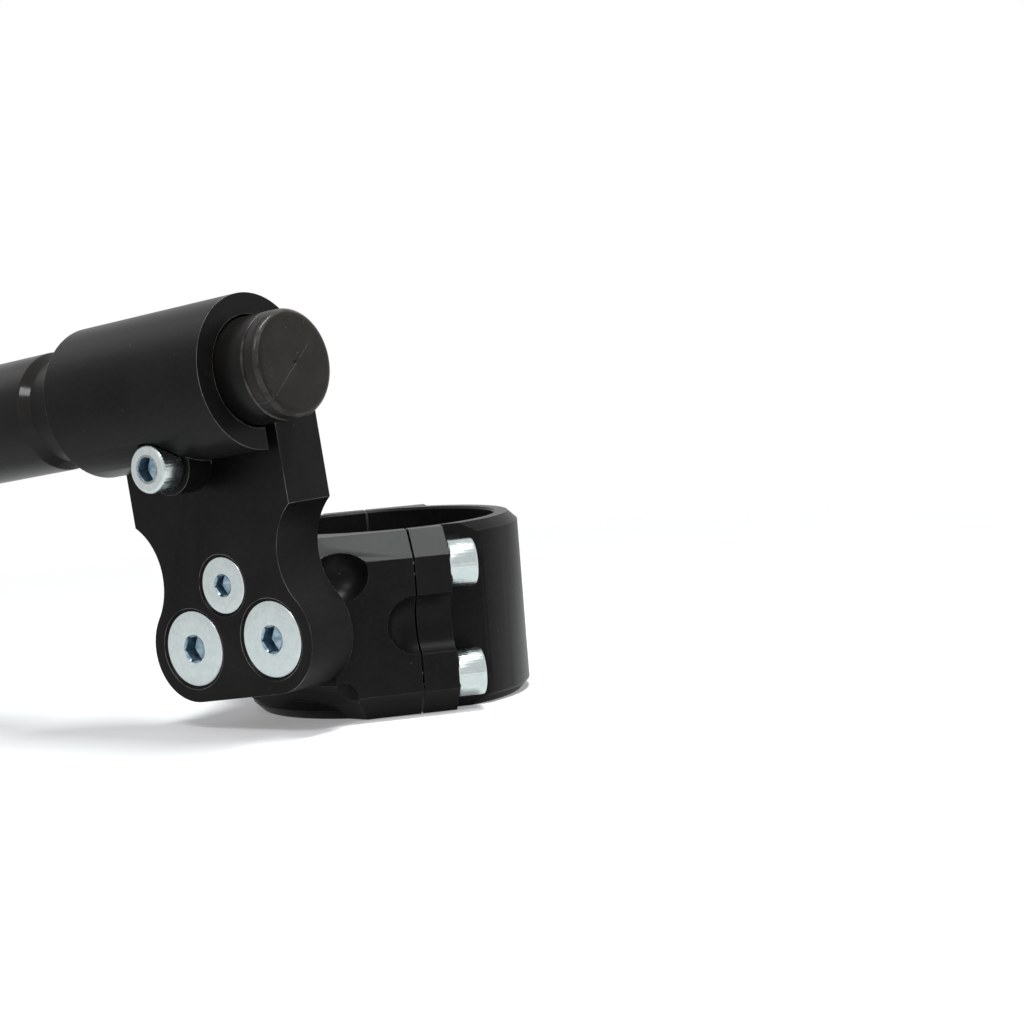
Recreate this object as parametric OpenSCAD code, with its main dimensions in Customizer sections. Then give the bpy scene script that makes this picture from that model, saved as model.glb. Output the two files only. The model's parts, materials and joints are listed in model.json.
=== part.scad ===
// Left-hand clip-on handlebar: a split clamp for the fork tube, a riser bolted to its back,
// and a stepped bar held in the riser's split barrel.
// +Z is the axis of the fork tube. +X points from the clamp's rear half to its cap.

/* [Fork clamp] */
// Diameter of the fork tube
fork_d = 51; // [46:0.5:56]
// Height of the clamp along the fork tube
clamp_h = 39; // [36:0.5:46]
// Wall of the ring round the fork tube
ring_wall = 5; // [4:0.25:8]
// Gap between the two halves
seam_gap = 1; // [0.6:0.1:2]
// How far the seam lies in front of the fork axis
seam_x = 1.5; // [0:0.25:2.5]
// How far the ears stand out past the ring
ear_reach = 4; // [3.5:0.25:6]
// 45 degree bevel along the ears' top and bottom corners
ear_bevel = 5.4; // [4:0.2:6.5]
// Chamfer round the ring's outer rims
rim_chamfer = 2; // [1:0.25:3]
// Thickness of the cap's near ear, under the bolt heads
near_ear_t = 7; // [5.5:0.25:9]
// Thickness of the cap's far ear
far_ear_t = 15.4; // [13:0.2:17]
// Thickness of the rear half's far ear
rear_ear_t = 9; // [7:0.25:11]
// Radius of the notch milled across each ear
notch_r = 6.9; // [5:0.1:7.5]
// Depth of that notch
notch_depth = 3.9; // [2.5:0.1:4.2]

/* [Riser seat] */
// Direction that the seat faces, counted from +X
seat_turn = 220; // [216:0.5:224]
// How far the seat stands out past the ring
seat_stand = 4.5; // [4:0.25:8]
// Length of the seat past its middle, on the far side
seat_far = 17; // [15:0.5:20]
// Bevel under the seat and under its far end
seat_bevel = 8.5; // [6:0.25:9]
// Radius of the ball cutter that hollowed the near side above the seat's edge
scallop_r = 6.2; // [5.5:0.1:6.4]
// Depth of that hollow
scallop_depth = 4; // [2:0.25:4.25]
// From the seam back to the middle of that hollow
scallop_back = 15; // [14.75:0.25:17]
// Height of that hollow above the middle
scallop_rise = 12; // [11:0.25:13]
// Radius of the small nick under the seat's edge
nick_r = 3.1; // [2:0.1:3.4]
// From the seam back to that nick
nick_back = 16.3; // [16:0.1:17]
// Height of that nick above the clamp's underside
nick_rise = 5.9; // [5:0.1:7]

/* [Clamp screws] */
// Thread of the two clamp bolts
bolt_d = 6; // [5:0.5:6]
// Length of the clamp bolts under the head
bolt_len = 16; // [14:0.5:17]
// Wall between the fork bore and the middle of each clamp bolt
bolt_out = 4.5; // [4.2:0.1:5]
// Height of each clamp bolt above and below the middle
bolt_rise = 11.6; // [10:0.1:12.5]
// Thread of the two far screws
far_d = 3; // [2.5:0.5:4]
// Wall between the fork bore and the middle of each far screw
far_out = 4.1; // [3.8:0.1:4.6]
// Length of the far screws under the head
far_len = 16; // [13:0.5:16.5]
// Depth of the far screws' heads below the ear's front
far_recess = 6; // [3:0.25:7]

/* [Riser] */
// Outer diameter of the barrel
barrel_d = 31.8; // [30:0.2:36]
// Length of the barrel along the bar
barrel_len = 45; // [38:0.5:55]
// Thickness of the plate
plate_t = 12.5; // [11:0.25:13.5]
// Width of the slit that lets the barrel close
slit_w = 3; // [2:0.25:4]
// From the bar's axis down to the lower pair of screws
riser_drop = 54.1; // [52:0.1:58]
// From the bar's axis down to the plate's sharp corners
corner_drop = 27.25; // [26:0.25:28]
// How far the screws lie towards the bar's outer end from the seat's middle
seat_shift = 1.1; // [0:0.1:1.5]
// How far the lower pair of screws lies below the seat's middle
seat_drop = 0.6; // [0:0.1:1.2]
// Distance between the two lower screws
screw_span = 22.6; // [21:0.2:24]
// Height of the upper screw above the lower pair
upper_rise = 12.3; // [11.5:0.1:13]
// Radius of the lobe round each lower screw
lobe_r = 11.3; // [10:0.1:12]
// Radius of the hollow above each lobe
waist_r = 13.5; // [12:0.25:16]
// Slope of the bar, down towards its outer end
bar_slope = 6.4; // [0:0.2:10]
// Thread of the pinch screw in the barrel's lip
pinch_d = 6; // [5:0.5:6]
// Length of the pinch screw under the head
pinch_len = 16; // [12:0.5:19]
// Metal between the bar's bore and the pinch screw
pinch_wall = 1.8; // [1.4:0.1:3]
// Depth of the lip under the pinch screw's head
lip_t = 6.4; // [5.5:0.1:7]

/* [Countersunk screws] */
// Thread of the two lower screws
lower_d = 8; // [6:0.5:8]
// Thread of the upper screw
upper_d = 6; // [5:0.5:6]
// Length of the countersunk screws
sunk_len = 20; // [17:0.5:20.5]
// Cylindrical rim of each countersunk head
sunk_rim = 0.4; // [0.2:0.05:0.6]
// Depth of each countersunk head below the plate
sunk_drop = 0.2; // [0:0.05:0.4]

/* [Bar] */
// Diameter of the bar inside the barrel
bar_d = 22; // [20:0.2:24]
// Bore of the bar
bar_bore = 14; // [12:0.5:16]
// How far the bar stands out past the barrel's inner face
bar_out = 7.6; // [5:0.2:15]
// Bare neck between the barrel and the step up to the grip
neck_len = 10; // [6:0.5:20]
// Length of the chamfer at that step
step_len = 2; // [1:0.25:4]
// Diameter of the grip section
grip_d = 25.4; // [24.5:0.1:28]
// Length of the grip section
grip_len = 233; // [180:1:260]
// Thickness of the inner plug's flange
plug_t = 3.8; // [2.5:0.1:6]
// Length of the outer end cap
end_cap_len = 15.5; // [10:0.5:25]
// Length of the spigot on each end piece
spigot_len = 14; // [8:0.5:20]
// Edge chamfer of the end pieces
end_chamfer = 1; // [0.4:0.1:1.5]

/* [Fits] */
// Radial room round the bar in the barrel
bar_room = 0.05; // [0.02:0.01:0.15]
// Radial room round each thread
thread_room = 0.05; // [0.02:0.01:0.15]
// Radial room round each sunken cylindrical head
head_room = 0.3; // [0.2:0.05:0.5]
// Radial room round the spigots
spigot_room = 0.05; // [0.02:0.01:0.15]
// Depth of each tapped hole past its screw's tip
tap_room = 0.8; // [0.4:0.1:1.2]
// Small chamfer on machined edges
edge_break = 0.5; // [0.3:0.1:0.8]

/* [Hidden] */
$fn = 96;
over = 1;

fork_r = fork_d / 2;
ring_r = fork_r + ring_wall;
half_h = clamp_h / 2;
ear_y = ring_r + ear_reach;
rear_face = seam_x - seam_gap / 2;
cap_face = seam_x + seam_gap / 2;
bolt_seat = cap_face + near_ear_t;
far_front = cap_face + far_ear_t;

// A socket head is about one and two thirds of its thread wide, and as high as the thread.
head_ratio = 5 / 3;
bolt_head_r = bolt_d * head_ratio / 2;
bolt_y = fork_r + bolt_out;
far_head_r = far_d * 11 / 12;
far_y = fork_r + far_out;
far_seat = far_front - far_recess - far_d;
notch_y = ear_y + notch_r - notch_depth;

seat_dist = ring_r + seat_stand;
seat_near = (ear_y + seat_dist * sin(seat_turn)) / -cos(seat_turn);
bolt_tip = bolt_seat - bolt_len;
nick_out = 0.8;

barrel_r = barrel_d / 2;
bore_r = bar_d / 2 + bar_room;
plate_front = barrel_r - plate_t;
half_barrel = barrel_len / 2;
lip_y = plate_front - slit_w;
pinch_r = pinch_d / 2;
pinch_head_r = pinch_d * head_ratio / 2;
pinch_drop = bar_d / 2 + pinch_wall + pinch_r;
pinch_seat = lip_y - lip_t;
lug_r = pinch_head_r + 1;

bar_inner = half_barrel + bar_out;
step_start = half_barrel + neck_len;
grip_start = step_start + step_len;
grip_end = grip_start + grip_len;
grip_r = grip_d / 2;
spigot_r = bar_bore / 2 - spigot_room;

// The lobe's centre, and the centre of the hollow that meets the lobe and passes through the
// plate's corner: the crossing of two circles. The hollow bites a hair into the lobe, so that
// the outline has one clear corner there.
bite = 0.01;
lobe = [screw_span / 2, -riser_drop];
corner = [half_barrel, -corner_drop];
to_corner = norm(corner - lobe);
to_hollow = waist_r + lobe_r - bite;
along = (to_corner * to_corner + to_hollow * to_hollow - waist_r * waist_r) / (2 * to_corner);
aside = sqrt(to_hollow * to_hollow - along * along);
toward = (corner - lobe) / to_corner;
hollow = lobe + along * toward + aside * [toward[1], -toward[0]];

// Section through the clamp seen along X: a rectangle with bevelled corners
module ear_section() {
    polygon([
        [-ear_y, half_h - ear_bevel], [-ear_y, ear_bevel - half_h],
        [ear_bevel - ear_y, -half_h], [ear_y - ear_bevel, -half_h],
        [ear_y, ear_bevel - half_h], [ear_y, half_h - ear_bevel],
        [ear_y - ear_bevel, half_h], [ear_bevel - ear_y, half_h]
    ]);
}

// A bevelled bar from x0 to x1 that trims the ears' corners
module ear_envelope(x0, x1) {
    translate([x0, 0, 0]) rotate([90, 0, 90]) linear_extrude(x1 - x0) ear_section();
}

// The ring before its bore is cut
module ring_blank() {
    rotate_extrude() polygon([
        [0, -half_h], [ring_r - rim_chamfer, -half_h], [ring_r, rim_chamfer - half_h],
        [ring_r, half_h - rim_chamfer], [ring_r - rim_chamfer, half_h], [0, half_h]
    ]);
}

// The fork bore, with a broken edge at each mouth
module fork_bore() {
    rotate_extrude() polygon([
        [0, -half_h - over], [fork_r + edge_break + over, -half_h - over],
        [fork_r, edge_break - half_h], [fork_r, half_h - edge_break],
        [fork_r + edge_break + over, half_h + over], [0, half_h + over]
    ]);
}

// A block between two corners
module span(low, high) {
    translate(low) cube(high - low);
}

// A cylinder along +X from x0 to x1
module rod_x(r, x0, x1) {
    translate([x0, 0, 0]) rotate([0, 90, 0]) cylinder(r = r, h = x1 - x0);
}

// A cylinder along +Y from y0 to y1
module rod_y(r, y0, y1) {
    translate([0, y0, 0]) rotate([-90, 0, 0]) cylinder(r = r, h = y1 - y0);
}

// Puts its children at the near bolts' axis and the far screws' axis
module at_bolt(side) {
    translate([0, -bolt_y, side * bolt_rise]) children();
}
module at_far(side) {
    translate([0, far_y, side * bolt_rise]) children();
}

// Outline of the rear half's block, seen from above: near ear, seat and return to the ring
module seat_outline() {
    out = [cos(seat_turn), sin(seat_turn)];
    side = [-out[1], out[0]];
    polygon([
        [rear_face, -ear_y], seat_dist * out + seat_near * side,
        seat_dist * out - seat_far * side, -seat_far * side, [rear_face, seat_far / 2]
    ]);
}

// A triangle that cuts the lower edge off a wall at 45 degrees: the wall stands at reach
module lower_edge(reach) {
    polygon([
        [reach + over, seat_bevel - half_h + over],
        [reach - seat_bevel - over, -half_h - over], [reach + over, -half_h - over]
    ]);
}

// The seat's block, with the lower edges of its front and of its far end cut away
module seat_block() {
    near_end = seat_near + seat_bevel + over;
    difference() {
        translate([0, 0, -half_h]) linear_extrude(clamp_h) seat_outline();
        rotate([0, 0, seat_turn]) {
            translate([0, near_end, 0]) rotate([90, 0, 0])
                linear_extrude(near_end + seat_far + over) lower_edge(seat_dist);
            rotate([90, 0, -90]) linear_extrude(2 * (seat_dist + over), center = true)
                lower_edge(seat_far);
        }
    }
}

// A ball-nosed cut in the near side: back is counted from the seam, rise from the middle
module ball_cut(r, back, out, rise) {
    translate([rear_face - back, -ear_y - out, rise]) sphere(r = r, $fn = 48);
}

// Rear half of the clamp, with the near ear run out into the riser's seat
module clamp_rear() {
    color("#1c1c1e") difference() {
        intersection() {
            union() {
                ring_blank();
                seat_block();
                span([rear_face - rear_ear_t, 0, -half_h], [rear_face, ear_y, half_h]);
            }
            ear_envelope(-2 * seat_dist, rear_face);
        }
        fork_bore();
        near_notch_end();
        ball_cut(scallop_r, scallop_back, scallop_r - scallop_depth, scallop_rise);
        ball_cut(nick_r, nick_back, nick_out, nick_rise - half_h);
        translate([0, notch_y, 0]) rod_x(notch_r, -ear_y, rear_face + over);
        for (side = [-1, 1]) {
            at_bolt(side) rod_x(bolt_d / 2 + thread_room, bolt_tip - tap_room, rear_face + over);
            at_far(side) rod_x(far_d / 2 + thread_room, -ear_y, rear_face + over);
        }
        in_riser_frame() {
            for (side = [-1, 1]) translate([side * lobe[0], 0, lobe[1]]) tapped_hole(lower_d);
            translate([0, 0, upper_rise - riser_drop]) tapped_hole(upper_d);
        }
    }
}

// The near notch ends in the rear half as the cutter's round nose left it
module near_notch_end() {
    translate([rear_face, -notch_y, 0]) rotate([0, 90, 0]) sphere(r = notch_r, $fn = 48);
}

// Cap of the clamp, with a thin near ear under the bolts and a deep far ear
module clamp_cap() {
    color("#1c1c1e") difference() {
        intersection() {
            union() {
                intersection() {
                    ring_blank();
                    span([cap_face, -bolt_y + bolt_head_r - head_room, -half_h],
                         [ring_r + over, ear_y, half_h]);
                }
                span([cap_face, -ear_y, -half_h], [bolt_seat, 0, half_h]);
                far_ear();
            }
            ear_envelope(cap_face, ring_r + over);
        }
        fork_bore();
        for (side = [-1, 1]) {
            translate([0, side * notch_y, 0]) rod_x(notch_r, cap_face - over, ring_r + over);
            at_bolt(side) {
                rod_x(bolt_d / 2 + head_room, cap_face - over, bolt_seat + over);
                rod_x(bolt_head_r + head_room, bolt_seat, ring_r + over);
            }
            at_far(side) {
                rod_x(far_d / 2 + head_room, cap_face - over, far_seat + over);
                rod_x(far_head_r + head_room, far_seat, far_front + over);
            }
        }
    }
}

// The cap's far ear: a flat front with its upper and lower edges chamfered
module far_ear() {
    rotate([90, 0, 0]) translate([0, 0, -ear_y]) linear_extrude(ear_y) polygon([
        [cap_face, -half_h], [far_front - rim_chamfer, -half_h],
        [far_front, rim_chamfer - half_h], [far_front, half_h - rim_chamfer],
        [far_front - rim_chamfer, half_h], [cap_face, half_h]
    ]);
}

// Socket head screw along X: the head's underside is at 0 and the head points to +X
module socket_screw(d, head_r, hex, length) {
    difference() {
        union() {
            rotate([0, 90, 0]) rotate_extrude() polygon([
                [0, -length], [d / 2 - edge_break, -length], [d / 2, edge_break - length],
                [d / 2, 0], [head_r, 0], [head_r, d - edge_break],
                [head_r - edge_break, d], [0, d]
            ]);
        }
        translate([d / 2, 0, 0]) rotate([90, 0, 90]) linear_extrude(d)
            circle(d = hex / cos(30), $fn = 6);
    }
}

// Countersunk screw along +Y: its flat head is at 0 and the shank points to +Y
module sunk_screw(d, hex) {
    head_r = d;
    cone_end = sunk_rim + head_r - d / 2;
    difference() {
        rotate([-90, 0, 0]) rotate_extrude() polygon([
            [0, 0], [head_r, 0], [head_r, sunk_rim], [d / 2, cone_end],
            [d / 2, sunk_len - edge_break], [d / 2 - edge_break, sunk_len], [0, sunk_len]
        ]);
        translate([0, -over, 0]) rotate([-90, 90, 0]) linear_extrude(d * 0.38 + over)
            circle(d = hex / cos(30), $fn = 6);
    }
}

// The sink and through hole for a countersunk screw in the plate
module sunk_hole(d) {
    mouth = d + sunk_rim + sunk_drop;
    shank = d / 2 + thread_room;
    translate([0, plate_front, 0]) rotate([-90, 0, 0]) rotate_extrude() polygon([
        [0, -over], [mouth + over, -over], [shank, mouth - shank],
        [shank, plate_t + over], [0, plate_t + over]
    ]);
}

// The blind tapped hole in the seat behind the plate
module tapped_hole(d) {
    tip = plate_front + sunk_drop + sunk_len + tap_room;
    rod_y(d / 2 + thread_room, barrel_r - over, tip);
}

// Places the riser's own frame in the clamp's: x along the bar towards its inner end,
// y towards the fork, z up, and the origin at the middle of the barrel
module in_riser_frame() {
    rotate([0, 0, seat_turn + 90]) translate([-seat_shift, -seat_dist - barrel_r, -seat_drop])
        rotate([0, -bar_slope, 0]) translate([0, 0, riser_drop]) children();
}

// Outline of the plate, drawn in x and z: corners, hollows and two lobes. Each side runs down
// past its corner, and the hollow cuts the rest away.
module plate_outline() {
    side_end = [corner[0], hollow[1]];
    difference() {
        union() {
            polygon([
                [-corner[0], 0], [corner[0], 0], side_end, hollow, lobe, [lobe[0], lobe[1] - lobe_r],
                [-lobe[0], lobe[1] - lobe_r], [-lobe[0], lobe[1]], [-hollow[0], hollow[1]],
                [-side_end[0], side_end[1]]
            ]);
            for (side = [-1, 1]) translate([side * lobe[0], lobe[1]]) circle(r = lobe_r);
        }
        for (side = [-1, 1]) translate([side * hollow[0], hollow[1]]) circle(r = waist_r);
    }
}

// Riser: the barrel, its split lip and the lobed plate, machined as one piece
module riser() {
    color("#1c1c1e") in_riser_frame() difference() {
        union() {
            rod_x(barrel_r, -half_barrel, half_barrel);
            translate([0, barrel_r, 0]) rotate([90, 0, 0]) linear_extrude(plate_t) plate_outline();
            translate([0, 0, -pinch_drop]) rod_y(lug_r, pinch_seat, plate_front);
        }
        rod_x(bore_r, -half_barrel - over, half_barrel + over);
        span([-half_barrel - over, lip_y, -pinch_drop - lug_r - over],
             [half_barrel + over, plate_front, 0]);
        translate([0, 0, -pinch_drop]) {
            rod_y(pinch_head_r + head_room, -barrel_r - over, pinch_seat);
            rod_y(pinch_r + head_room, pinch_seat - over, lip_y + over);
            rod_y(pinch_r + thread_room, plate_front - over, pinch_seat + pinch_len + tap_room);
            rod_y(pinch_d * 5 / 12, plate_front, barrel_r + over);
        }
        for (side = [-1, 1]) translate([side * lobe[0], 0, lobe[1]]) sunk_hole(lower_d);
        for (turn = [0, 180]) rotate([0, 0, turn]) translate([half_barrel, 0, 0]) bore_mouth();
        translate([0, 0, upper_rise - riser_drop]) sunk_hole(upper_d);
    }
}

// The broken edge at a mouth of the barrel's bore, opening to +X
module bore_mouth() {
    rotate([0, 90, 0]) rotate_extrude() polygon([
        [0, -edge_break], [bore_r, -edge_break], [bore_r + edge_break + over, over], [0, over]
    ]);
}

// A body turned round the bar's axis, from a profile of radius and distance outwards
module turned(profile) {
    rotate([0, -90, 0]) rotate_extrude() polygon(profile);
}

// The bar: a tube, thin in the barrel and thick under the grip
module handlebar_tube() {
    color("#202022") in_riser_frame() turned([
        [bar_bore / 2, -bar_inner], [bar_d / 2, -bar_inner], [bar_d / 2, step_start],
        [grip_r, grip_start], [grip_r, grip_end], [bar_bore / 2, grip_end]
    ]);
}

// Plug in the bar's inner end
module inner_end_plug() {
    color("#262628") in_riser_frame() turned([
        [0, -bar_inner - plug_t], [bar_d / 2 - end_chamfer, -bar_inner - plug_t],
        [bar_d / 2, end_chamfer - bar_inner - plug_t], [bar_d / 2, -bar_inner],
        [spigot_r, -bar_inner], [spigot_r, spigot_len - bar_inner - edge_break],
        [spigot_r - edge_break, spigot_len - bar_inner], [0, spigot_len - bar_inner]
    ]);
}

// Cap on the bar's outer end
module outer_end_cap() {
    cap_end = grip_end + end_cap_len;
    color("#202022") in_riser_frame() turned([
        [0, grip_end - spigot_len], [spigot_r - edge_break, grip_end - spigot_len],
        [spigot_r, grip_end - spigot_len + edge_break], [spigot_r, grip_end],
        [grip_r, grip_end], [grip_r, cap_end - end_chamfer], [grip_r - end_chamfer, cap_end],
        [0, cap_end]
    ]);
}

// The screws, each in its seat
module clamp_screw(side) {
    color("#c8ccd0") at_bolt(side) translate([bolt_seat, 0, 0])
        socket_screw(bolt_d, bolt_head_r, bolt_d * 5 / 6, bolt_len);
}
module far_screw(side) {
    color("#c8ccd0") at_far(side) translate([far_seat, 0, 0])
        socket_screw(far_d, far_head_r, far_d * 5 / 6, far_len);
}
module riser_screw(side) {
    color("#c8ccd0") in_riser_frame()
        translate([side * lobe[0], plate_front + sunk_drop, lobe[1]]) sunk_screw(lower_d, lower_d * 5 / 8);
}
module upper_screw() {
    color("#c8ccd0") in_riser_frame()
        translate([0, plate_front + sunk_drop, upper_rise - riser_drop]) sunk_screw(upper_d, upper_d * 2 / 3);
}
module pinch_screw() {
    color("#c8ccd0") in_riser_frame() translate([0, pinch_seat, -pinch_drop]) rotate([0, 0, -90])
        socket_screw(pinch_d, pinch_head_r, pinch_d * 5 / 6, pinch_len);
}

clamp_rear();
clamp_cap();
clamp_screw(1);  // clamp_screw_top
clamp_screw(-1);  // clamp_screw_bottom
far_screw(1);  // far_screw_top
far_screw(-1);  // far_screw_bottom
riser();
riser_screw(1);  // riser_screw_inner
riser_screw(-1);  // riser_screw_outer
upper_screw();  // riser_screw_upper
pinch_screw();
handlebar_tube();
inner_end_plug();
outer_end_cap();
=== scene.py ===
"""Clip-on handlebar: the finish, the fine detail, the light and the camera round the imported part.

Lengths are in millimetres until something is placed in Blender, which counts in metres. Angles are
in degrees until they are used.
"""
import json
import math

import bmesh
import bpy
import numpy as np
from mathutils import Matrix, Vector

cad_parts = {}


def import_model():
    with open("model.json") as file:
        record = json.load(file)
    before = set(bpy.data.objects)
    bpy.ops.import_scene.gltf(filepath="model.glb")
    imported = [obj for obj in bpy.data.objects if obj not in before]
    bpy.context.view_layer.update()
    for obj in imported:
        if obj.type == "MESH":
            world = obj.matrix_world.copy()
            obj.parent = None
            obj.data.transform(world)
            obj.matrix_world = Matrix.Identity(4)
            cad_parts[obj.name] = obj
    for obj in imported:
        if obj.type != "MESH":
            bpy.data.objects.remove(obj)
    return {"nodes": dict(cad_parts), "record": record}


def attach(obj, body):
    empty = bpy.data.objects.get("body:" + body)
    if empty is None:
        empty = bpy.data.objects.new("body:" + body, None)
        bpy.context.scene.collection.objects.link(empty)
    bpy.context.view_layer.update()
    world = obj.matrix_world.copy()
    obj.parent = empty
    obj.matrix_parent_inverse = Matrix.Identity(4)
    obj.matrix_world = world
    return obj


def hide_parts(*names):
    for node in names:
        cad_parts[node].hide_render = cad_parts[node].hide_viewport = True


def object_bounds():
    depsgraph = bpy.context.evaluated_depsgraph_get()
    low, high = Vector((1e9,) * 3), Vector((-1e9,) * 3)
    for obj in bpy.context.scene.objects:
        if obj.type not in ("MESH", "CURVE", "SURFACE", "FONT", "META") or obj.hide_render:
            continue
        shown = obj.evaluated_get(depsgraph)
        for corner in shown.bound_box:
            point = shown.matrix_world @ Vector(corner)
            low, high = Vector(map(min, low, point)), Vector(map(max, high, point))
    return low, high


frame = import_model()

CAD_LOW, CAD_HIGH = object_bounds()
MM = 0.001
TURN = 2 * math.pi

# Camera, fitted to the photograph
CAMERA_PLACE = (-88.09, -572.77, 71.33)
CAMERA_AZIMUTH = 11.66
CAMERA_ELEVATION = 5.18
CAMERA_ROLL = 4.54
FOCAL_PIXELS = 2646.7
FRAME_PIXELS = 1024
SENSOR = 36

# Where the grip section begins, counted along the bar from the middle of the barrel
GRIP_START = 34.5


def unit(v):
    """v at length 1."""
    return v / np.linalg.norm(v)


def riser_frame():
    """The riser's own axes as columns, and its origin at the middle of the barrel.

    x runs along the bar to its inner end, y lies flat and points at the fork, z is square to both.
    """
    grip = next(m for m in frame["record"]["mounts"] if m["name"] == "grip")
    outward = unit(np.array(grip["axis"], float))
    reach = grip["dims"]["length_mm"] / 2 + GRIP_START
    x = -outward
    y = unit(np.array([-x[1], x[0], 0]))
    axes = np.column_stack([x, y, np.cross(x, y)])
    return axes, np.array(grip["pos_m"]) / MM - outward * reach


# Axes and origins: the clamp stands square in the row's frame, and the riser leans. Screws in the
# riser's front stand along x of FRONT_AXES, which points out of that front.
CLAMP_AXES, CLAMP_MIDDLE = np.eye(3), np.zeros(3)
RISER_AXES, BARREL = riser_frame()
FRONT_AXES = np.column_stack([-RISER_AXES[:, 1], RISER_AXES[:, 2], -RISER_AXES[:, 0]])
BAR_TURN = Matrix(RISER_AXES.tolist()).to_euler()


def extent(node, axes=CLAMP_AXES, origin=CLAMP_MIDDLE):
    """Lowest and highest corner of a CAD node along the given axes, from origin."""
    mesh = frame["nodes"][node].data
    points = np.empty(len(mesh.vertices) * 3, np.float32)
    mesh.vertices.foreach_get("co", points)
    local = (points.reshape(-1, 3) / MM - origin) @ axes
    return local.min(0), local.max(0)


# Meshes

CURVE_POINTS = 5      # points on each rounded corner of an outline
SIDE_SHARE = 0.45     # the most of a side that one corner's curve may take
NO_LENGTH = 1e-9      # keeps a side of no length from dividing by zero
CREASE = 32           # edges sharper than this stay sharp when a piece is shaded smooth
MERGE = 0.002         # points of a CAD mesh closer than this are one point
SEAM_REACH = 0.01     # points as close as this to the seam's plane lie in it
FLAT = 0.6            # triangles that lie within this angle are joined into one face
SHARP = 24            # machined edges sharper than this are broken
EDGE_BREAK = 0.22     # how far a broken edge reaches into each of its faces
EDGE_STEPS = 3        # the strips of faces along a broken edge


def soft_corners(corners, reach):
    """The corners of an open outline, each but the ends turned into a small curve.

    The curve is the quadratic Bezier a(1-t)^2 + 2ct(1-t) + bt^2, where c is the corner and a and b
    lie reach before and after it, or at most SIDE_SHARE of the way along the side.
    """
    corners = np.array(corners, float)
    reach = np.broadcast_to(reach, len(corners) - 2)[:, None]
    sides = np.diff(corners, axis=0)
    lengths = np.linalg.norm(sides, axis=1)[:, None]
    way = sides / np.maximum(lengths, NO_LENGTH)
    middle = corners[1:-1]
    before = middle - way[:-1] * np.minimum(reach, SIDE_SHARE * lengths[:-1])
    after = middle + way[1:] * np.minimum(reach, SIDE_SHARE * lengths[1:])
    t = np.linspace(0, 1, CURVE_POINTS)[None, :, None]
    curve = (before[:, None] * (1 - t) ** 2 + 2 * middle[:, None] * t * (1 - t)
             + after[:, None] * t ** 2)
    return np.vstack([corners[:1], curve.reshape(-1, 2), corners[-1:]])


def subdivided(outline, longest):
    """The outline with each side cut into equal parts no longer than longest."""
    sides = np.linalg.norm(np.diff(outline, axis=0), axis=1)
    counts = np.maximum(1, np.ceil(sides / longest)).astype(int)
    start = np.repeat(outline[:-1], counts, axis=0)
    step = np.repeat(np.diff(outline, axis=0) / counts[:, None], counts, axis=0)
    place = np.arange(len(start)) - np.repeat(np.cumsum(counts) - counts, counts)
    return np.vstack([start + step * place[:, None], outline[-1:]])


def rings(stations, radii, segments):
    """Rings round the x axis: the point at angle a is (station, radius cos a, radius sin a).

    radii may be one number a station, or a number for each station and angle.
    """
    angle = np.arange(segments) * TURN / segments
    radii = np.asarray(radii, float).reshape(len(stations), -1)
    radii = np.broadcast_to(radii, (len(stations), segments))
    x = np.broadcast_to(np.asarray(stations, float)[:, None], radii.shape)
    return np.stack([x, radii * np.cos(angle), radii * np.sin(angle)], -1)


def skin(name, grid, axes, origin, loop=False):
    """A closed mesh over rings of points, joined ring to ring by quads.

    Each end is closed by a fan to the middle of its ring, or with loop the last ring meets the
    first. The quads come first in the list of faces, then the first ring's fan, then the last's.
    """
    rows, count = grid.shape[:2]
    points = (grid.reshape(-1, 3) @ axes.T + origin) * MM
    row = np.arange(rows if loop else rows - 1)[:, None]
    here = np.arange(count)
    ahead = (here + 1) % count
    low, high = row * count, (row + 1) % rows * count
    quads = np.stack([low + here, high + here, high + ahead, low + ahead], -1)
    faces = quads.reshape(-1, 4).tolist()
    if not loop:
        ends = np.stack([grid[0].mean(0), grid[-1].mean(0)])
        points = np.vstack([points, (ends @ axes.T + origin) * MM])
        tip, tail = rows * count, rows * count + 1
        last = (rows - 1) * count
        faces += np.stack([np.full(count, tip), here, ahead], -1).tolist()
        faces += np.stack([np.full(count, tail), last + ahead, last + here], -1).tolist()
    mesh = bpy.data.meshes.new(name)
    mesh.from_pydata(points.tolist(), [], faces)
    face_outwards(mesh)
    return finished(name, mesh)


def face_outwards(mesh):
    """Turns every face of a closed mesh outwards."""
    work = bmesh.new()
    work.from_mesh(mesh)
    bmesh.ops.recalc_face_normals(work, faces=work.faces)
    work.to_mesh(mesh)
    work.free()


def finished(name, mesh):
    """An object of the mesh, smooth apart from its creases, riding on the part."""
    mesh.shade_smooth()
    mesh.set_sharp_from_angle(angle=math.radians(CREASE))
    piece = bpy.data.objects.new(name, mesh)
    bpy.context.scene.collection.objects.link(piece)
    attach(piece, "root")
    return piece


def paint(piece, index):
    """Gives each face the material slot of that index."""
    piece.data.polygons.foreach_set("material_index", index.astype(np.int32))


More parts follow.
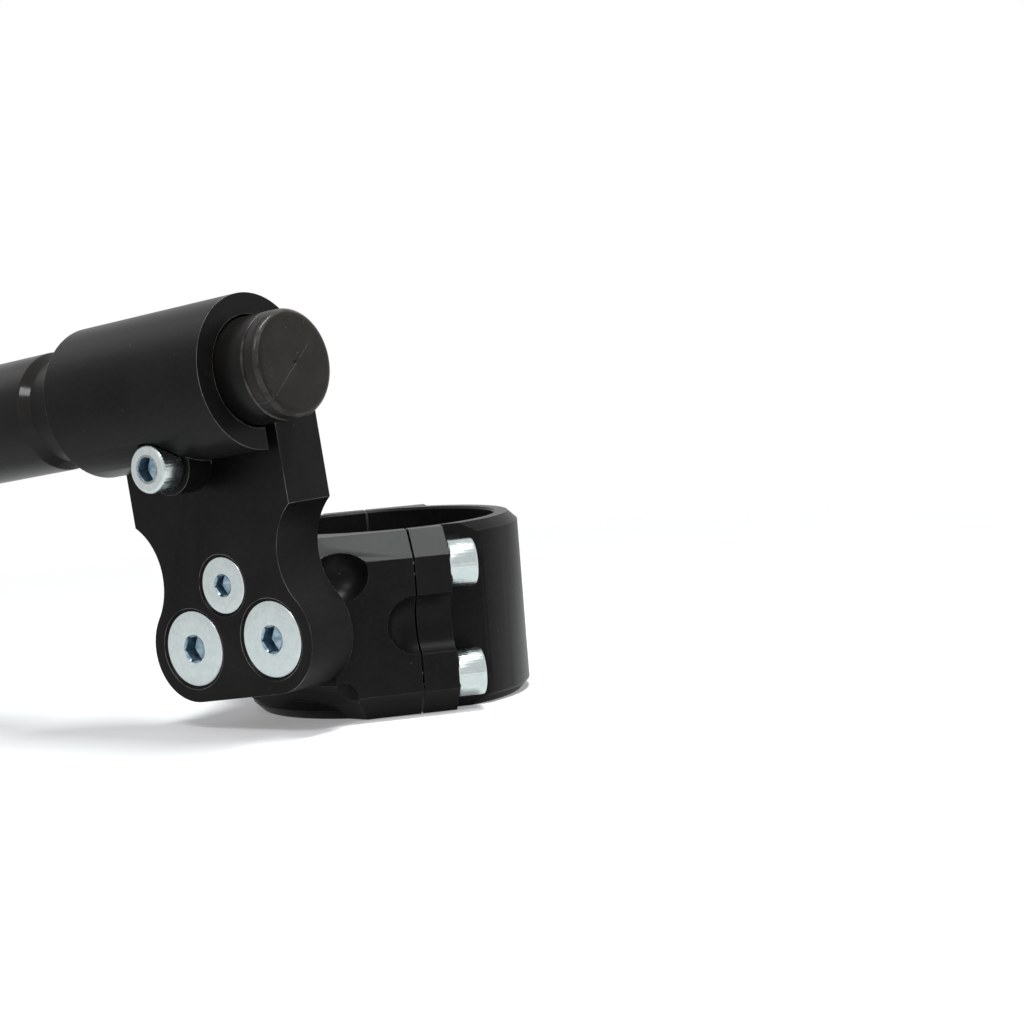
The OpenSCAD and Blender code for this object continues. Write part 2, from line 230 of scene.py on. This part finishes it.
def machined(node, sharp=SHARP, seam=None, shift=0):
    """The CAD node's form with its machined edges broken, in place of the node.

    A copy of the node is merged, flat triangles are joined into whole faces, and each edge of more
    than sharp degrees gets a small rounded bevel, whose faces take the second material slot. The
    flat face at x = seam, where the clamp's halves meet, is first moved along x by shift.
    """
    copy = frame["nodes"][node].data.copy()
    if seam is not None:
        points = np.empty(len(copy.vertices) * 3, np.float32)
        copy.vertices.foreach_get("co", points)
        in_seam = np.abs(points[::3] / MM - seam) < SEAM_REACH
        points[::3] += np.where(in_seam, shift * MM, 0)
        copy.vertices.foreach_set("co", points)
    work = bmesh.new()
    work.from_mesh(copy)
    bpy.data.meshes.remove(copy)
    bmesh.ops.remove_doubles(work, verts=work.verts, dist=MERGE * MM)
    bmesh.ops.dissolve_limit(
        work, angle_limit=math.radians(FLAT), verts=work.verts, edges=work.edges, delimit=set())
    mesh = bpy.data.meshes.new(node + "_machined")
    work.to_mesh(mesh)
    work.free()
    piece = finished(node + "_machined", mesh)
    bevel = piece.modifiers.new("broken_edges", "BEVEL")
    bevel.width = EDGE_BREAK * MM
    bevel.segments = EDGE_STEPS
    bevel.limit_method = "ANGLE"
    bevel.angle_limit = math.radians(sharp)
    bevel.harden_normals = True
    bevel.use_clamp_overlap = True
    bevel.material = 1
    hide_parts(node)
    return piece


# Screws, by the size of their thread: M3, M6 and M8

PITCH = {3: 0.5, 6: 1.0, 8: 1.25}
SOCKET_HEAD_KEY = {3: 2.5, 6: 5}
COUNTERSUNK_KEY = {6: 4, 8: 5}
KNURLS = {3: 30, 6: 44}
SOCKET_HEAD_SEGMENTS = {3: 6 * 20, 6: 6 * 32}
COUNTERSUNK_SEGMENTS = 6 * 20
ROWS_A_PITCH = 8      # rings of points in one pitch of a thread


def triangle_wave(x):
    """1 at whole numbers and 0 half way between them, straight in between."""
    return np.abs(2 * (x % 1) - 1)


def hexagon(segments):
    """The radius of a hexagon of one unit across its flats, at each angle: half of 1 / cos of the
    angle to the nearest flat's middle."""
    angle = np.arange(segments) * TURN / segments
    sixth = TURN / 6
    return 0.5 / np.cos((angle + sixth / 2) % sixth - sixth / 2)


def thread_rows(length, thread, segments):
    """Stations and radii of a screw thread from 0 to -length.

    The flank's depth at station x and angle a is a triangle wave of x / pitch - a / turn, cut flat
    at the crest and root, and it fades out over one pitch at each end.
    """
    pitch = PITCH[thread]
    crest, flank = 0.12, 0.72      # as shares of the wave's height
    depth = 0.58 * pitch
    stations = np.linspace(0, -length, int(length / pitch * ROWS_A_PITCH) + 1)
    wave = triangle_wave(stations[:, None] / pitch - np.arange(segments) / segments)
    cut = np.clip((wave - crest) / flank, 0, 1)
    fade = np.clip(np.minimum(-stations, stations + length) / pitch, 0, 1)[:, None]
    return stations, thread / 2 - depth * cut * fade


def socket_rows(top, across, depth, segments):
    """Stations and radii of a hex socket, from its drilled floor up to its rim at top.

    The floor is a cone, the walls are a hexagon, and the rim is a round chamfer over its corners.
    """
    rim, rim_depth = across / 2 / math.cos(TURN / 12) + 0.12, 0.3
    floor = top - depth
    walls = across * hexagon(segments)
    stations = [floor - 0.28 * across, floor - 0.08 * across, floor, top - rim_depth, top]
    radii = np.stack([
        np.full(segments, 0.04 * across), np.full(segments, 0.36 * across), walls, walls,
        np.full(segments, rim)])
    return stations, radii


def end_rows(length, thread):
    """Stations and radii of the 45 degree chamfer at a screw's end."""
    return [-length + 0.5, -length], [thread / 2 - 0.25, thread / 2 - 0.75]


def screw(node, parts, segments, axes, place):
    """A closed screw in the place of its CAD node, from parts that are each a list of stations and
    their radii. The first part is the socket, whose faces take the second material slot."""
    grid = np.vstack([rings(stations, radii, segments) for stations, radii in parts])
    piece = skin(node + "_zinc", grid, axes, place)
    index = np.zeros(len(piece.data.polygons))
    # The socket's faces take the darker zinc, which paints shade into the recess.
    index[:(len(parts[0][0]) - 1) * segments] = 1
    index[(len(grid) - 1) * segments:len(grid) * segments] = 1
    paint(piece, index)
    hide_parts(node)
    return piece


def socket_head_screw(node, axes, origin, thread):
    """A socket head screw with a knurled head as high as its thread is thick, standing along x.

    Station 0 is the seat. Round the head, the radius falls by a triangle wave of angle times the
    number of knurls. All else is an outline turned round x.
    """
    low, high = extent(node, axes, origin)
    centre = (low + high) / 2
    head_r = (high[1] - low[1]) / 2
    rim_r = head_r - 0.12
    seat = high[0] - thread
    length = seat - low[0]
    neck, end = 0.3, 0.8
    segments = SOCKET_HEAD_SEGMENTS[thread]
    teeth = triangle_wave(np.arange(segments) * KNURLS[thread] / segments)
    knurled = head_r - 0.01 * head_r * teeth
    crown = soft_corners(
        [(thread, 0.5 * head_r), (thread, head_r - 0.55), (thread - 0.3, rim_r)], 0.25)
    under = soft_corners([(0.35, rim_r), (0, head_r - 0.35), (0, thread / 2 + 0.2)], 0.12)
    thread_x, thread_r = thread_rows(length - neck - end, thread, segments)
    parts = [
        socket_rows(thread, SOCKET_HEAD_KEY[thread], 0.5 * thread, segments),
        (crown[:, 0], crown[:, 1]),
        ([thread - 0.55, 0.6], np.stack([knurled, knurled])),
        (under[:, 0], under[:, 1]),
        (thread_x - neck, thread_r),
        end_rows(length, thread),
    ]
    return screw(node, parts, segments, axes, axes @ np.array([seat, *centre[1:]]) + origin)


def countersunk_screw(node, axes, origin, thread):
    """A countersunk screw whose head faces along x, with its face at station 0: the face, a low
    rim and a 45 degree cone are an outline turned round x."""
    low, high = extent(node, axes, origin)
    centre = (low + high) / 2
    length = high[0] - low[0]
    rim, rim_r = 0.4, thread - 0.02
    cone_end = rim + thread / 2
    neck, end = 0.2, 1.0
    across = COUNTERSUNK_KEY[thread]
    segments = COUNTERSUNK_SEGMENTS
    head = soft_corners([
        (0, across * 0.7), (0.02, thread * 0.7), (-0.02, thread - 0.22), (-0.16, rim_r),
        (-rim, rim_r), (-cone_end, thread / 2)], (0.3, 0.1, 0.06, 0.15))
    thread_x, thread_r = thread_rows(length - cone_end - neck - end, thread, segments)
    parts = [
        socket_rows(0, across, 0.38 * thread, segments),
        (head[:, 0], head[:, 1]),
        (thread_x - cone_end - neck, thread_r),
        end_rows(length, thread),
    ]
    return screw(node, parts, segments, axes, axes @ np.array([high[0], *centre[1:]]) + origin)


# Materials


class Socket:
    """A shader value that takes part in Python expressions by adding Math nodes."""

    def __init__(self, tree, link):
        self.tree = tree
        self.link = link

    def maths(self, operation, *others):
        """The result of a Math node on this value and the others."""
        return self.tree.add("ShaderNodeMath", {"operation": operation}, [self, *others])

    def __add__(self, other):
        return self.maths("ADD", other)

    def __sub__(self, other):
        return self.maths("SUBTRACT", other)

    def __mul__(self, other):
        return self.maths("MULTIPLY", other)

    def __rsub__(self, other):
        return self.tree.add("ShaderNodeMath", {"operation": "SUBTRACT"}, [other, self])

    __radd__ = __add__
    __rmul__ = __mul__

    def abs(self):
        return self.maths("ABSOLUTE")

    def ramp(self, low, high):
        """0 at low and 1 at high, smooth in between."""
        values = {"Value": self, "From Min": low, "From Max": high}
        return self.tree.add("ShaderNodeMapRange", {"interpolation_type": "SMOOTHSTEP"}, values)


class Tree:
    """The nodes of one material, or of the world."""

    def __init__(self, owner):
        owner.use_nodes = True
        self.owner = owner
        self.nodes = owner.node_tree.nodes
        self.links = owner.node_tree.links

    def add(self, kind, settings, values, output=0):
        """A node of that kind, with its settings made first and then its inputs."""
        node = self.nodes.new(kind)
        for key, value in settings.items():
            setattr(node, key, value)
        pairs = values.items() if isinstance(values, dict) else enumerate(values)
        for key, value in pairs:
            self.feed(node.inputs[key], value)
        return Socket(self, node.outputs[output])

    def feed(self, socket, value):
        """A link or a plain value for an input."""
        if isinstance(value, Socket):
            self.links.new(value.link, socket)
        else:
            socket.default_value = value

    def set(self, **values):
        """Sets the shader's own inputs, such as Base_Color, and returns the material."""
        for key, value in values.items():
            self.feed(self.nodes["Principled BSDF"].inputs[key.replace("_", " ")], value)
        return self.owner

    def places(self, size=(1, 1, 1), turn=(0, 0, 0), middle=(0, 0, 0)):
        """Object coordinates from middle along turned axes, where a unit is size long."""
        coords = self.add("ShaderNodeTexCoord", {}, {}, "Object")
        values = {"Vector": coords, "Rotation": turn, "Scale": tuple(s * MM for s in size),
                  "Location": tuple(m * MM for m in middle)}
        return self.add("ShaderNodeMapping", {"vector_type": "TEXTURE"}, values)

    def noise(self, size, detail=4, where=None, rough=0.55):
        """Noise from 0 to 1 whose spots are about size wide."""
        where = where or self.places()
        values = {"Vector": where, "Scale": 1 / size, "Detail": detail, "Roughness": rough}
        return self.add("ShaderNodeTexNoise", {}, values, "Fac")

    def blend(self, factor, first, second):
        """A colour between two colours."""
        settings = {"data_type": "RGBA", "clamp_factor": True}
        colours = {0: factor, 6: as_colour(first), 7: as_colour(second)}
        return self.add("ShaderNodeMix", settings, colours, 2)

    def bump(self, height, distance, strength):
        """A bump of the given height, distance deep."""
        values = {"Height": height, "Distance": distance * MM, "Strength": strength}
        return self.add("ShaderNodeBump", {}, values)

    def seen(self):
        """1 for the rays that show a surface as it is, from the camera, off gloss or through
        glass, and 0 for those that light the part."""
        camera_rays, glossy, clear = (
            self.add("ShaderNodeLightPath", {}, {}, f"Is {kind} Ray")
            for kind in ("Camera", "Glossy", "Transmission"))
        return camera_rays.maths("MAXIMUM", glossy).maths("MAXIMUM", clear)


def as_colour(value):
    """A link as it is, or a tone with full alpha."""
    return value if isinstance(value, Socket) else (*value, 1)


def toned(tone, by):
    """A tone times one number, or times a number for each of its channels."""
    return tuple(np.multiply(tone, by).tolist())


def material(name):
    """The nodes of a new material."""
    return Tree(bpy.data.materials.new(name))


def dust(tree, spacing, share, seed):
    """A mask of small specks: the middles of a Voronoi pattern's cells, kept at a share of them."""
    offset = [tree.places(), (seed, seed, seed)]
    where = tree.add("ShaderNodeVectorMath", {"operation": "ADD"}, offset)
    cells = {"Vector": where, "Scale": 1 / spacing}
    distance = tree.add("ShaderNodeTexVoronoi", {}, cells, "Distance")
    tint = tree.add("ShaderNodeTexVoronoi", {}, cells, "Color")
    kept = tree.add("ShaderNodeSeparateColor", {}, [tint])
    return (1 - distance.ramp(0.03, 0.11)) * kept.ramp(1 - share, 1 - share + 0.02)


def anodised(name, tone, gloss, wear=0.0):
    """Black anodised aluminium: a satin skin with a fine blasted grain, brownish clouds and specks
    of dust, rubbed through to the bare metal as far as wear says."""
    tree = material(name)
    clouds = tree.noise(14, 3)
    grain = tree.noise(0.28, 3, rough=0.7)
    mottle = tree.noise(1.1, 4)
    light = toned(tone, (1.5, 1.42, 1.34))
    colour = tree.blend(clouds.ramp(0.3, 0.7), toned(tone, 0.7), light)
    colour = tree.blend(mottle.ramp(0.4, 0.75) * 0.5, colour, toned(tone, 2.2))
    colour = tree.blend(grain.ramp(0.52, 0.8) * 0.5, colour, toned(tone, 3))
    colour = tree.blend(dust(tree, 2.6, 0.16, 3.0) * 0.5, colour, (0.07, 0.066, 0.06))
    if wear:
        rubbed = tree.noise(7, 4).ramp(0.36, 0.66)
        colour = tree.blend(rubbed * wear, colour, (0.3, 0.285, 0.27))
    return tree.set(
        Base_Color=colour, Metallic=0.0, Specular_IOR_Level=0.085,
        Roughness=gloss + (grain - 0.5) * 0.16 + (clouds - 0.5) * 0.08,
        Normal=tree.bump(grain, 0.012, 0.6))


def turned_black(name, tone, gloss):
    """The bar's satin black: as anodised, with fine turning marks round its axis."""
    tree = material(name)
    marks = tree.noise(1, 3, tree.places((0.18, 8, 8), BAR_TURN), 0.6)
    grain = tree.noise(0.22, 2)
    clouds = tree.noise(18, 3)
    light = toned(tone, (1.3, 1.24, 1.16))
    colour = tree.blend(clouds.ramp(0.3, 0.7), toned(tone, 0.85), light)
    colour = tree.blend(dust(tree, 2.2, 0.2, 7.0) * 0.5, colour, (0.08, 0.075, 0.068))
    return tree.set(
        Base_Color=colour, Specular_IOR_Level=0.12,
        Roughness=gloss + (marks - 0.5) * 0.22 + (grain - 0.5) * 0.08,
        Normal=tree.bump(marks * 0.6 + grain * 0.4, 0.012, 0.5))


def polished_black(name):
    """The turned chamfer at the bar's step, anodised over a polished cut."""
    tree = material(name)
    marks = tree.noise(1, 3, tree.places((0.11, 10, 10), BAR_TURN))
    return tree.set(
        Base_Color=tree.blend(marks, (0.005, 0.0045, 0.004), (0.012, 0.011, 0.01)),
        Metallic=0.0, Specular_IOR_Level=0.16, Roughness=0.08 + marks * 0.1)


def long_scratch(tree):
    """A mask of the hairline scratch across the plug's face: near a line that slants by 39 degrees,
    between its two ends, and broken up by noise."""
    slant_cos, slant_sin = 0.777, 0.629
    where = tree.places(turn=BAR_TURN, middle=BARREL)
    y, z = (tree.add("ShaderNodeSeparateXYZ", {}, [where], axis) for axis in "YZ")
    across = (z * slant_cos - y * slant_sin + 0.28).abs()
    along = (y * slant_cos + z * slant_sin + 3).abs()
    whole = (1 - across.ramp(0.04, 0.13)) * (1 - along.ramp(8.5, 9.3))
    return whole * tree.noise(0.9, 3).ramp(0.34, 0.56)


def plug_black(name):
    """The plug's fine matt black, with light scratches and specks."""
    tree = material(name)
    grain = tree.noise(0.35, 4)
    clouds = tree.noise(6, 3)
    scratch = tree.noise(1, 2, tree.places((4, 0.31, 0.9), (0.4, 0.9, 0.3)))
    lines = (1 - (scratch - 0.5).abs().ramp(0.0, 0.006)) * clouds.ramp(0.5, 0.62)
    dark, light = (0.0085, 0.0077, 0.007), (0.0135, 0.012, 0.0107)
    colour = tree.blend(clouds.ramp(0.3, 0.7), dark, light)
    colour = tree.blend(lines * 0.4, colour, (0.09, 0.085, 0.08))
    colour = tree.blend(long_scratch(tree) * 0.8, colour, (0.07, 0.064, 0.058))
    colour = tree.blend(dust(tree, 2.0, 0.3, 1.0) * 0.6, colour, (0.11, 0.1, 0.09))
    return tree.set(
        Base_Color=colour, Specular_IOR_Level=0.14,
        Roughness=0.4 + (grain - 0.5) * 0.16 - lines * 0.1,
        Normal=tree.bump(grain, 0.015, 0.5))


def zinc(name, pale, deep, gloss):
    """Bluish zinc plate on steel, between two tones, with cloudy passivation and fine speckle."""
    tree = material(name)
    clouds = tree.noise(1.6, 5, rough=0.65)
    speckle = tree.noise(0.16, 3)
    colour = tree.blend(clouds.ramp(0.35, 0.65), deep, pale)
    colour = tree.blend(speckle.ramp(0.52, 0.72) * 0.4, colour, toned(deep, 0.65))
    return tree.set(
        Base_Color=colour, Metallic=1.0,
        Roughness=gloss + (speckle - 0.5) * 0.16 + (clouds - 0.5) * 0.1,
        Normal=tree.bump(speckle, 0.01, 0.35))


ANODISED = anodised("anodised_black_satin", (0.0040, 0.0039, 0.0038), 0.36)
# The worn edge tone is far lighter than the satin black: a painted highlight along the broken
# edges, with rubbed wear over it.
WORN_EDGE_PAINTED_HIGHLIGHT = anodised("anodised_black_worn_edge_painted_highlight", (0.045, 0.042, 0.04), 0.28, 0.9)
# The soft edge tone is a fainter painted highlight along broken edges, with a little rubbed wear:
# on the cap, the bar's inner edge and the plug's rim.
SOFT_EDGE_PAINTED_HIGHLIGHT = anodised("anodised_black_soft_edge_painted_highlight", (0.017, 0.016, 0.015), 0.22, 0.18)
BAR = turned_black("bar_black_satin", (0.0042, 0.0041, 0.0039), 0.32)
POLISHED = polished_black("bar_black_polished")
PLUG = plug_black("plug_black_matt")
ZINC = zinc("zinc_bluish", (0.5, 0.545, 0.535), (0.45, 0.5, 0.505), 0.25)
# The socket zinc is darker than the head's: painted shade in the recesses.
ZINC_SOCKET_PAINTED_SHADE = zinc("zinc_bluish_socket_painted_shade", (0.3, 0.38, 0.43), (0.13, 0.21, 0.27), 0.3)


# The part

# The bar: the radii of its bore and of its part in the barrel, and the length of the chamfer at its
# step. Its long sides are cut up, so that no face of it is longer than LONGEST_SIDE.
BORE_R, BAR_R, STEP = 7, 11, 2
LONGEST_SIDE = 12
BAR_SEGMENTS, END_SEGMENTS = 160, 128

# The pieces in its ends: the spigot's radius, and the lengths of the parts that show
SPIGOT_R = 6.95
PLUG_FLANGE, CAP_LENGTH = 3.8, 15.5

# How far the bolts draw each half of the clamp towards the other, and the least angle of the cap's
# broken edges, which leaves out the shallow one behind its bolts
SEAM_CLOSING = 0.28
CAP_SHARP = 38


def dress(piece, slot, *materials):
    """Gives a piece its materials. The slot is not used."""
    for finish in materials:
        piece.data.materials.append(finish)


def turned(node, outline, segments, loop=False):
    """A turned piece in place of its CAD node: the outline, of stations along the bar and radii,
    carried round the bar's axis."""
    grid = rings(outline[:, 0], outline[:, 1], segments)
    piece = skin(node + "_turned", grid, RISER_AXES, BARREL, loop)
    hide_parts(node)
    return piece


def along_bar(piece):
    """The middle of each face: its place along the bar's axis and its distance from it."""
    centres = np.empty(len(piece.data.polygons) * 3)
    piece.data.polygons.foreach_get("center", centres)
    local = (centres.reshape(-1, 3) / MM - BARREL) @ RISER_AXES
    return local[:, 0], np.hypot(local[:, 1], local[:, 2])


def bar():
    """The bar, a stepped tube. The chamfer at its step is polished, and the edge at its inner end
    has a lighter tone: a painted highlight with a little wear."""
    low, high = extent("handlebar_tube", RISER_AXES, BARREL)
    outer, inner = low[0], high[0]
    grip_r = (high[1] - low[1]) / 2
    step = -GRIP_START
    wall = (BORE_R + grip_r) / 2
    outline = soft_corners([
        (outer, wall), (outer, grip_r), (step, grip_r), (step + STEP, BAR_R), (inner, BAR_R),
        (inner, BORE_R), (outer, BORE_R), (outer, wall)], (0.3, 0.25, 0.2, 0.5, 0.4, 0.3))
    outline = subdivided(outline, LONGEST_SIDE)[:-1]
    piece = turned("handlebar_tube", outline, BAR_SEGMENTS, loop=True)
    x, radius = along_bar(piece)
    on_step = (x > step - 0.1) & (x < step + STEP + 0.1) & (radius > BAR_R - 0.1)
    # The inner edge's faces take the soft edge tone, a painted highlight with a little wear.
    on_edge = (x > inner - 0.5) & (radius > BAR_R - 0.6)
    paint(piece, on_step + 2 * on_edge)
    dress(piece, "bar_black", BAR, POLISHED, SOFT_EDGE_PAINTED_HIGHLIGHT)


def inner_plug():
    """The plug in the bar's inner end: a flange with a rounded edge, a centre dot and a spigot."""
    low, high = extent("inner_end_plug", RISER_AXES, BARREL)
    face, tip = high[0], low[0]
    flange_r = (high[1] - low[1]) / 2
    seam = face - PLUG_FLANGE
    outline = soft_corners([
        (face - 0.35, 0.05), (face - 0.3, 0.3), (face, 0.6), (face, flange_r - 1.1),
        (face - 1.0, flange_r), (seam + 0.35, flange_r), (seam, flange_r - 0.3),
        (seam, SPIGOT_R), (tip + 0.6, SPIGOT_R), (tip, SPIGOT_R - 0.6), (tip, 0.3)],
        (0.1, 0.15, 0.8, 0.9, 0.15, 0.1, 0.1, 0.2, 0.2))
    piece = turned("inner_end_plug", outline, END_SEGMENTS)
    x, radius = along_bar(piece)
    # The rounded rim takes the soft edge tone, a painted highlight with a little wear.
    paint(piece, (x > face - 1) & (x < face - 0.03) & (radius > flange_r - 0.9))
    dress(piece, "plug_black", PLUG, SOFT_EDGE_PAINTED_HIGHLIGHT)


def outer_cap():
    """The cap on the bar's outer end: a rounded edge, a shallow drilled centre and a spigot."""
    low, high = extent("outer_end_cap", RISER_AXES, BARREL)
    end, tip = low[0], high[0]
    cap_r = (high[1] - low[1]) / 2
    seam = end + CAP_LENGTH
    outline = soft_corners([
        (end + 0.9, 0.05), (end + 0.6, 1.2), (end, 1.8), (end, cap_r - 1.2), (end + 1.1, cap_r),
        (seam - 0.3, cap_r), (seam, cap_r - 0.3), (seam, SPIGOT_R), (tip - 0.6, SPIGOT_R),
        (tip, SPIGOT_R - 0.6), (tip, 0.3)], (0.1, 0.15, 0.8, 0.8, 0.15, 0.1, 0.1, 0.2, 0.2))
    dress(turned("outer_end_cap", outline, END_SEGMENTS), "bar_black", BAR)


def clamp():
    """The clamp's two halves, drawn closer together at the seam."""
    back, front = extent("clamp_rear")[1][0], extent("clamp_cap")[0][0]
    rear = machined("clamp_rear", seam=back, shift=SEAM_CLOSING)
    # The broken edges of both halves take a lighter tone, a painted edge highlight with wear,
    # softer on the cap.
    dress(rear, "anodised_black", ANODISED, WORN_EDGE_PAINTED_HIGHLIGHT)
    cap = machined("clamp_cap", CAP_SHARP, seam=front, shift=-SEAM_CLOSING)
    dress(cap, "anodised_black", ANODISED, SOFT_EDGE_PAINTED_HIGHLIGHT)


def screws(nodes, kind, axes, origin, thread):
    """The named screws, each made by kind."""
    for node in nodes:
        dress(kind(node, axes, origin, thread), "zinc", ZINC, ZINC_SOCKET_PAINTED_SHADE)


clamp()
# The riser's broken edges take the worn edge tone, a painted edge highlight with wear.
dress(machined("riser"), "anodised_black", ANODISED, WORN_EDGE_PAINTED_HIGHLIGHT)
bar()
inner_plug()
outer_cap()
clamp_place, front_place = (CLAMP_AXES, CLAMP_MIDDLE), (FRONT_AXES, BARREL)
screws(("clamp_screw_top", "clamp_screw_bottom"), socket_head_screw, *clamp_place, 6)
screws(("far_screw_top", "far_screw_bottom"), socket_head_screw, *clamp_place, 3)
screws(("pinch_screw",), socket_head_screw, *front_place, 6)
screws(("riser_screw_inner", "riser_screw_outer"), countersunk_screw, *front_place, 8)
screws(("riser_screw_upper",), countersunk_screw, *front_place, 6)


# Light, floor and camera

WHITE = (1, 1, 1)
STUDIO_GREY = (0.3, 0.31, 0.33)
FLOOR_TONE = (0.8, 0.8, 0.8)
FLOOR_HALF = 3000          # half the floor's side
FLOOR_LIFT = 0.25          # how much brighter the floor is seen than the lamps make it
FLOOR_FADE = (90, 420)     # how far from the clamp it begins to fade to white, and is white
CLIP_NEAR, CLIP_FAR = 10, 20000   # what lies between these distances shows in the camera


def world():
    """A soft grey studio for diffuse light, and white behind the part and in its reflections."""
    tree = Tree(bpy.data.worlds.new("studio"))
    background = tree.nodes["Background"]
    tree.feed(background.inputs["Color"], tree.blend(tree.seen(), STUDIO_GREY, WHITE))
    tree.feed(background.inputs["Strength"], 1)
    bpy.context.scene.world = tree.owner


def floor():
    """A pale floor under the clamp. As it is seen, it is a little brighter than it is lit, and it
    fades to plain white away from the clamp. It keeps the part's shadow."""
    square = np.array([(-1, -1, 0), (1, -1, 0), (1, 1, 0), (-1, 1, 0)])
    corners = square * FLOOR_HALF + (0, 0, CAD_LOW.z / MM)
    mesh = bpy.data.meshes.new("floor")
    mesh.from_pydata((corners * MM).tolist(), [], [(0, 1, 2, 3)])
    piece = bpy.data.objects.new("floor", mesh)
    bpy.context.scene.collection.objects.link(piece)
    tree = material("floor_pale")
    tree.set(Base_Color=as_colour(FLOOR_TONE), Roughness=0.9, Specular_IOR_Level=0.0)
    lit = Socket(tree, tree.nodes["Principled BSDF"].outputs["BSDF"])
    lift, white = (
        tree.add("ShaderNodeEmission", {}, {"Color": as_colour(WHITE), "Strength": strength})
        for strength in (FLOOR_LIFT, 1))
    lifted = tree.add("ShaderNodeAddShader", {}, [lit, lift])
    seen = tree.seen()
    near = tree.add("ShaderNodeMixShader", {}, [seen, lit, lifted])
    reach = tree.add("ShaderNodeVectorMath", {"operation": "LENGTH"}, [tree.places()], "Value")
    faded = tree.add("ShaderNodeMixShader", {}, [seen * reach.ramp(*FLOOR_FADE), near, white])
    tree.feed(tree.nodes["Material Output"].inputs["Surface"], faded)
    mesh.materials.append(tree.owner)


def softbox(name, place, target, size, radiance, tint=WHITE):
    """A rectangular lamp at place, facing target, whose face has that radiance."""
    lamp = bpy.data.lights.new(name, "AREA")
    lamp.shape = "RECTANGLE"
    lamp.size, lamp.size_y = (s * MM for s in size)
    lamp.energy = radiance * math.pi * lamp.size * lamp.size_y
    lamp.color = tint
    thing = bpy.data.objects.new(name, lamp)
    bpy.context.scene.collection.objects.link(thing)
    place, target = Vector(place) * MM, Vector(target) * MM
    thing.location = place
    thing.rotation_euler = (target - place).to_track_quat("-Z", "Y").to_euler()
    thing.visible_camera = False


def camera():
    """The camera at the photograph's place, turned by its azimuth, elevation and roll."""
    angles = (CAMERA_AZIMUTH, CAMERA_ELEVATION, CAMERA_ROLL)
    azimuth, elevation, roll = map(math.radians, angles)
    level = math.cos(elevation)
    right = Vector((math.cos(azimuth), -math.sin(azimuth), 0))
    ahead = Vector((math.sin(azimuth) * level, math.cos(azimuth) * level, -math.sin(elevation)))
    down = ahead.cross(right)
    rolled_right = right * math.cos(roll) + down * math.sin(roll)
    rolled_down = down * math.cos(roll) - right * math.sin(roll)
    data = bpy.data.cameras.new("camera")
    data.sensor_width = SENSOR
    data.lens = FOCAL_PIXELS / FRAME_PIXELS * SENSOR
    data.clip_start, data.clip_end = CLIP_NEAR * MM, CLIP_FAR * MM
    thing = bpy.data.objects.new("camera", data)
    bpy.context.scene.collection.objects.link(thing)
    turn = Matrix((rolled_right, -rolled_down, -ahead)).transposed().to_4x4()
    turn.translation = Vector(CAMERA_PLACE) * MM
    thing.matrix_world = turn
    bpy.context.scene.camera = thing


world()
floor()
softbox("overhead", (80, -110, 560), (-10, -20, 20), (260, 90), 45, (0.95, 1.0, 0.99))
softbox("front_top", (-205, -415, 470), (-65, 0, 50), (190, 130), 18)
softbox("back_left", (-420, 350, 420), (-60, 0, 50), (300, 240), 0.9)
softbox("front_left", (-620, -420, 220), (-40, -20, 20), (420, 520), 0.3)
softbox("right", (640, 60, 200), (20, 0, 10), (300, 520), 0.45)
camera()

bpy.context.scene.view_settings.view_transform = "Standard"
